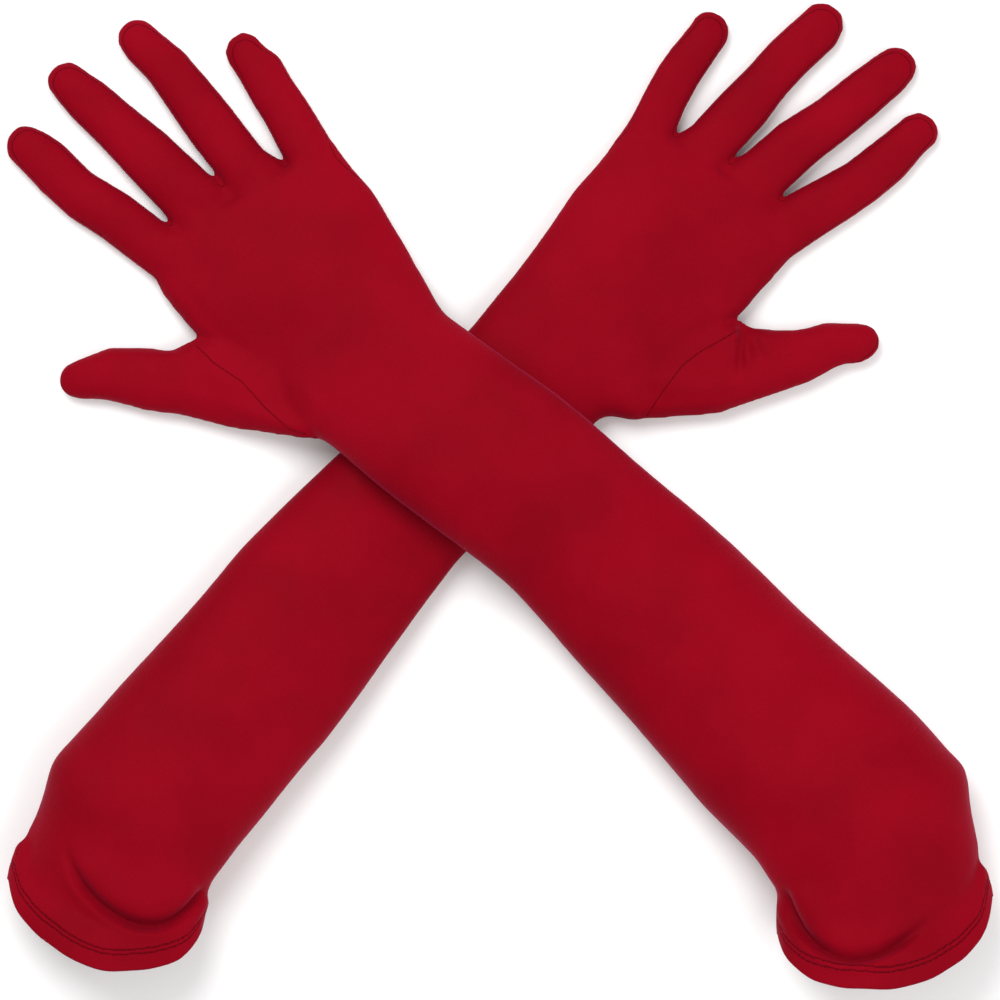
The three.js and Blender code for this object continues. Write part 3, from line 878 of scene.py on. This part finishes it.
def plain_material(name, light, deep, scale, roughness, specular):
    """A colour that varies a little from place to place, with a fine grain."""
    material = bpy.data.materials.new(name)
    material.use_nodes = True
    tree = material.node_tree
    shader = tree.nodes["Principled BSDF"]
    where = node(tree, "ShaderNodeTexCoord").outputs["Object"]
    grain = node(tree, "ShaderNodeTexNoise", {"Vector": where, "Scale": scale, "Detail": 5.0})
    mixed = node(
        tree, "ShaderNodeMix", {"Factor": grain.outputs["Fac"]}, data_type="RGBA",
        clamp_factor=True,
    )
    mixed.inputs[6].default_value = (*deep, 1)
    mixed.inputs[7].default_value = (*light, 1)
    tree.links.new(mixed.outputs[2], shader.inputs["Base Color"])
    rise = node(
        tree, "ShaderNodeBump",
        {"Height": grain.outputs["Fac"], "Strength": 0.3, "Distance": 0.0002},
    )
    tree.links.new(rise.outputs["Normal"], shader.inputs["Normal"])
    shader.inputs["Roughness"].default_value = roughness
    shader.inputs["Specular IOR Level"].default_value = specular
    return material


LIGHT_RED = (0.240, 0.0013, 0.0085)
DEEP_RED = (0.192, 0.0010, 0.0064)
# the dark red of the seams, also used as painted shade in the crease over each hem
SEAM_AND_CREASE_SHADE_RED = (0.060, 0.0006, 0.003)
CLOTH = fabric("stretch_satin", LIGHT_RED, DEEP_RED, SEAM_AND_CREASE_SHADE_RED, 0.35)
HEM_CLOTH = fabric("hem_satin", LIGHT_RED, DEEP_RED, SEAM_AND_CREASE_SHADE_RED, 0.45)
THREAD = plain_material(
    "red_thread", (0.15, 0.0012, 0.006), (0.10, 0.001, 0.004), 3000, 0.6, 0.04
)
FLOOR = plain_material("pale_floor", (0.945, 0.945, 0.945), (0.93, 0.93, 0.93), 9, 0.8, 0.5)


# ---------------------------------------------------------------- the gloves

def in_order(skin, line):
    """The places and normals of a line of edges, walked from one end to the other."""
    on_line = set(line.tolist())
    near = {point: [] for point in on_line}
    for face in skin.faces:
        for a, b in zip(face, face[1:] + face[:1]):
            if a in on_line and b in on_line and b not in near[a]:
                near[a].append(b)
                near[b].append(a)
    longest, left = [], set(on_line)
    while left:
        ends = [point for point in left if len(near[point]) == 1]
        walk = [min(ends or left)]
        left.discard(walk[0])
        while True:
            following = [point for point in near[walk[-1]] if point in left]
            if not following:
                break
            walk.append(following[0])
            left.discard(following[0])
        longest = max(longest, walk, key=len)
    return skin.points[longest], skin.normals[longest]


def layers_of(glove, limb):
    return [f"{glove}_{limb}_palm_side", f"{glove}_{limb}_back_side"]


def side_seams_of(glove, limb):
    return [f"{glove}_{limb}_left_seam", f"{glove}_{limb}_right_seam"]


def make_glove(glove):
    skin = Skin(glove)
    bends, mouth = skin.bends, skin.mouth
    centres = np.array([skin.smooth[face].mean(0) for face in skin.faces])
    beyond = mouth.beyond(centres)
    in_hand = bends["wrist"].past(centres) > WRIST_ZONE[1]
    owner = np.full(len(centres), "forearm", dtype="<U8")
    owner[in_hand] = "hand"
    owner[bends["elbow"].past(centres) < ELBOW_ZONE[1]] = "cuff"
    owner[beyond > -HEM_DEPTH] = "hem"
    nearest = np.full(len(centres), 1e9)
    for digit in DIGITS:
        thumb = digit == "thumb"
        start = THUMB_ZONE[0] if thumb else KNUCKLE_ZONE[0]
        limit = THUMB_HALF_WIDTH if thumb else FINGER_HALF_WIDTH
        off = bends[digit].off_line(centres)
        own = in_hand & (bends[digit].past(centres) > start) & (off < limit) & (off < nearest)
        owner[own] = digit
        nearest[own] = off[own]

    depth = -mouth.beyond(skin.smooth)
    thickness = WALL + (HEM_WALL - WALL) * (1 - smoothstep(depth, HEM_DEPTH - 1, HEM_DEPTH + 0.5))
    pieces = {}
    for part in ("hem", "cuff", "forearm", "hand") + DIGITS:
        piece = thick_piece(
            f"{glove}_{part}_cloth", skin, np.flatnonzero(owner == part), thickness
        )
        piece.data.materials.append(HEM_CLOTH if part == "hem" else CLOTH)
        pieces[part] = piece
    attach(pieces["hem"], f"{glove}_cuff")
    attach(pieces["hand"], f"{glove}_hand")
    bend = bends["elbow"]
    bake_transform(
        pieces["cuff"], f"{glove}_arm", f"{glove}_cuff",
        start=bend.at(ELBOW_ZONE[1]), end=bend.at(ELBOW_ZONE[0]),
    )
    bend = bends["wrist"]
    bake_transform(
        pieces["forearm"], f"{glove}_arm", f"{glove}_hand",
        start=bend.at(WRIST_ZONE[0]), end=bend.at(WRIST_ZONE[1]),
    )
    for digit in DIGITS:
        start, end = THUMB_ZONE if digit == "thumb" else KNUCKLE_ZONE
        bend = bends[digit]
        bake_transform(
            pieces[digit], f"{glove}_hand", f"{glove}_{digit}", start=bend.at(start), end=bend.at(end)
        )
        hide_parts(*layers_of(glove, digit), f"{glove}_{digit}_seam")
    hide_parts(*layers_of(glove, "cuff"), *side_seams_of(glove, "cuff"))
    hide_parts(*layers_of(glove, "arm"), *side_seams_of(glove, "arm"))
    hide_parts(*layers_of(glove, "hand"))
    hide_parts(f"{glove}_hem_band")

    for number, line in enumerate(skin.rows, start=1):
        row = stitches(f"{glove}_hem_stitches_{number}", glove, *in_order(skin, line), True)
        row.data.materials.append(THREAD)
        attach(row, f"{glove}_cuff")
        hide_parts(f"{glove}_hem_stitch_row_{number}")
    thread = stitches(
        f"{glove}_thumb_seam_stitches", glove, *in_order(skin, skin.thumb_row), False,
        length=1.5, pitch=2.3, radius=0.2,
    )
    thread.data.materials.append(THREAD)
    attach(thread, f"{glove}_hand")
    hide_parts(f"{glove}_thumb_seam_thread")


for each in GLOVES:
    make_glove(each)


# ---------------------------------------------------------------- the stage

FLOOR_HALF = 30.0
floor_mesh = bpy.data.meshes.new("floor")
floor_mesh.from_pydata(
    [(x * FLOOR_HALF, y * FLOOR_HALF, 0) for x, y in ((-1, -1), (1, -1), (1, 1), (-1, 1))],
    [], [(0, 1, 2, 3)],
)
floor = bpy.data.objects.new("floor", floor_mesh)
floor.data.materials.append(FLOOR)
bpy.context.scene.collection.objects.link(floor)


def area_light(name, place, size, power, target=(0, 0, 0.02)):
    data = bpy.data.lights.new(name, "AREA")
    data.shape = "DISK"
    data.size = size
    data.energy = power
    light = bpy.data.objects.new(name, data)
    light.location = place
    aim = Vector(target) - Vector(place)
    light.rotation_mode = "QUATERNION"
    light.rotation_quaternion = aim.to_track_quat("-Z", "Y")
    light.visible_camera = False
    bpy.context.scene.collection.objects.link(light)


area_light("key_light", (-0.5, 0.9, 1.7), 1.2, 26)
area_light("fill_light", (1.1, -0.5, 1.5), 1.6, 14)
world = bpy.data.worlds.new("studio")
world.use_nodes = True
world.node_tree.nodes["Background"].inputs["Color"].default_value = (1.0, 1.0, 1.0, 1)
world.node_tree.nodes["Background"].inputs["Strength"].default_value = 0.685
bpy.context.scene.world = world
bpy.context.scene.view_settings.view_transform = "Standard"
bpy.context.scene.view_settings.look = "None"

CAMERA_HEIGHT = 4.0
VIEW_WIDTH = 0.430
camera_data = bpy.data.cameras.new("camera")
camera_data.sensor_width = 36.0
camera_data.lens = camera_data.sensor_width * (CAMERA_HEIGHT - 0.02) / VIEW_WIDTH
camera_data.clip_end = 100.0
camera = bpy.data.objects.new("camera", camera_data)
camera.location = (0.0004, -0.0011, CAMERA_HEIGHT)
bpy.context.scene.collection.objects.link(camera)
bpy.context.scene.camera = camera

bpy.context.view_layer.update()
